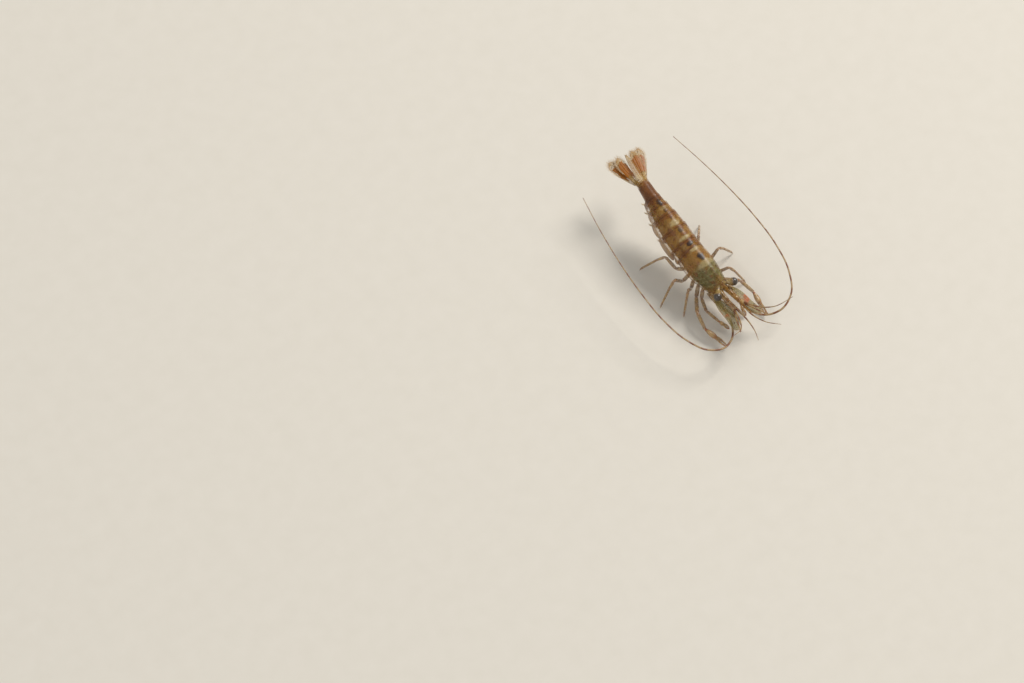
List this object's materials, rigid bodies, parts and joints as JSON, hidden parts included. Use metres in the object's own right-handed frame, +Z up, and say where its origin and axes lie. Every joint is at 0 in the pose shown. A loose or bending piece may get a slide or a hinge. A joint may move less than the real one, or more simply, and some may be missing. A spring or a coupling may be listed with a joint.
{
  "type": "ghost shrimp",
  "caption": "Life-size still model of a glass prawn standing on its walking legs, head low and tail raised, with a toothed rostrum, pincer legs, long feelers and a fanned tail.",
  "frame": {"origin": "middle of the model's footprint, at the level of the feet", "axes": "+Z up; the head points to -Y and the tail to +Y; +X is the animal's left"},
  "size_m": [0.0332, 0.0556, 0.0167],
  "materials": {
    "shell": "thin clear horny shell, amber with brown flecks, wet gloss",
    "dark_shell": "the same shell over dark maroon pigment, wet gloss",
    "underside": "soft cloudy underside, satin",
    "tail_blade": "thin clear blades with maroon patches and pale tips, glossy",
    "limb": "clear jointed limbs with orange bands, satin gloss",
    "claw": "clear pincers with orange joints and tips, satin gloss",
    "stalk": "cloudy olive eye stalks, satin",
    "eye": "near-black domed eye, high gloss",
    "feeler": "fine ringed feelers, satin",
    "swimmeret": "thin cloudy paddles, satin"
  },
  "bodies": {
    "root": {"abdomen_1": "shell", "abdomen_2": "shell", "abdomen_3": "shell", "abdomen_4": "shell", "abdomen_5": "shell", "abdomen_6": "dark_shell", "antenna_1_left": "feeler", "antenna_1_right": "feeler", "antenna_2_left": "feeler", "antenna_2_right": "feeler", "antenna_base_left": "limb", "antenna_base_right": "limb", "antennal_scale_left": "tail_blade", "antennal_scale_right": "tail_blade", "antennule_base_left": "limb", "antennule_base_right": "limb", "antennule_inner_left": "feeler", "antennule_inner_right": "feeler", "antennule_outer_left": "feeler", "antennule_outer_right": "feeler", "antennule_short_left": "feeler", "antennule_short_right": "feeler", "carapace": "shell", "claw_1_left": "claw", "claw_1_right": "claw", "claw_2_left": "claw", "claw_2_right": "claw", "eye_left": "eye", "eye_right": "eye", "eyestalk_left": "stalk", "eyestalk_right": "stalk", "maxilliped_left": "limb", "maxilliped_right": "limb", "pereopod_1_left": "limb", "pereopod_1_right": "limb", "pereopod_2_left": "limb", "pereopod_2_right": "limb", "pereopod_3_left": "limb", "pereopod_3_right": "limb", "pereopod_4_left": "limb", "pereopod_4_right": "limb", "pereopod_5_left": "limb", "pereopod_5_right": "limb", "pleopod_1_left": "swimmeret", "pleopod_1_right": "swimmeret", "pleopod_2_left": "swimmeret", "pleopod_2_right": "swimmeret", "pleopod_3_left": "swimmeret", "pleopod_3_right": "swimmeret", "pleopod_4_left": "swimmeret", "pleopod_4_right": "swimmeret", "pleopod_5_left": "swimmeret", "pleopod_5_right": "swimmeret", "telson": "tail_blade", "thorax": "underside", "uropod_endopod_left": "tail_blade", "uropod_endopod_right": "tail_blade", "uropod_exopod_left": "tail_blade", "uropod_exopod_right": "tail_blade"}
  },
  "joints": []
}
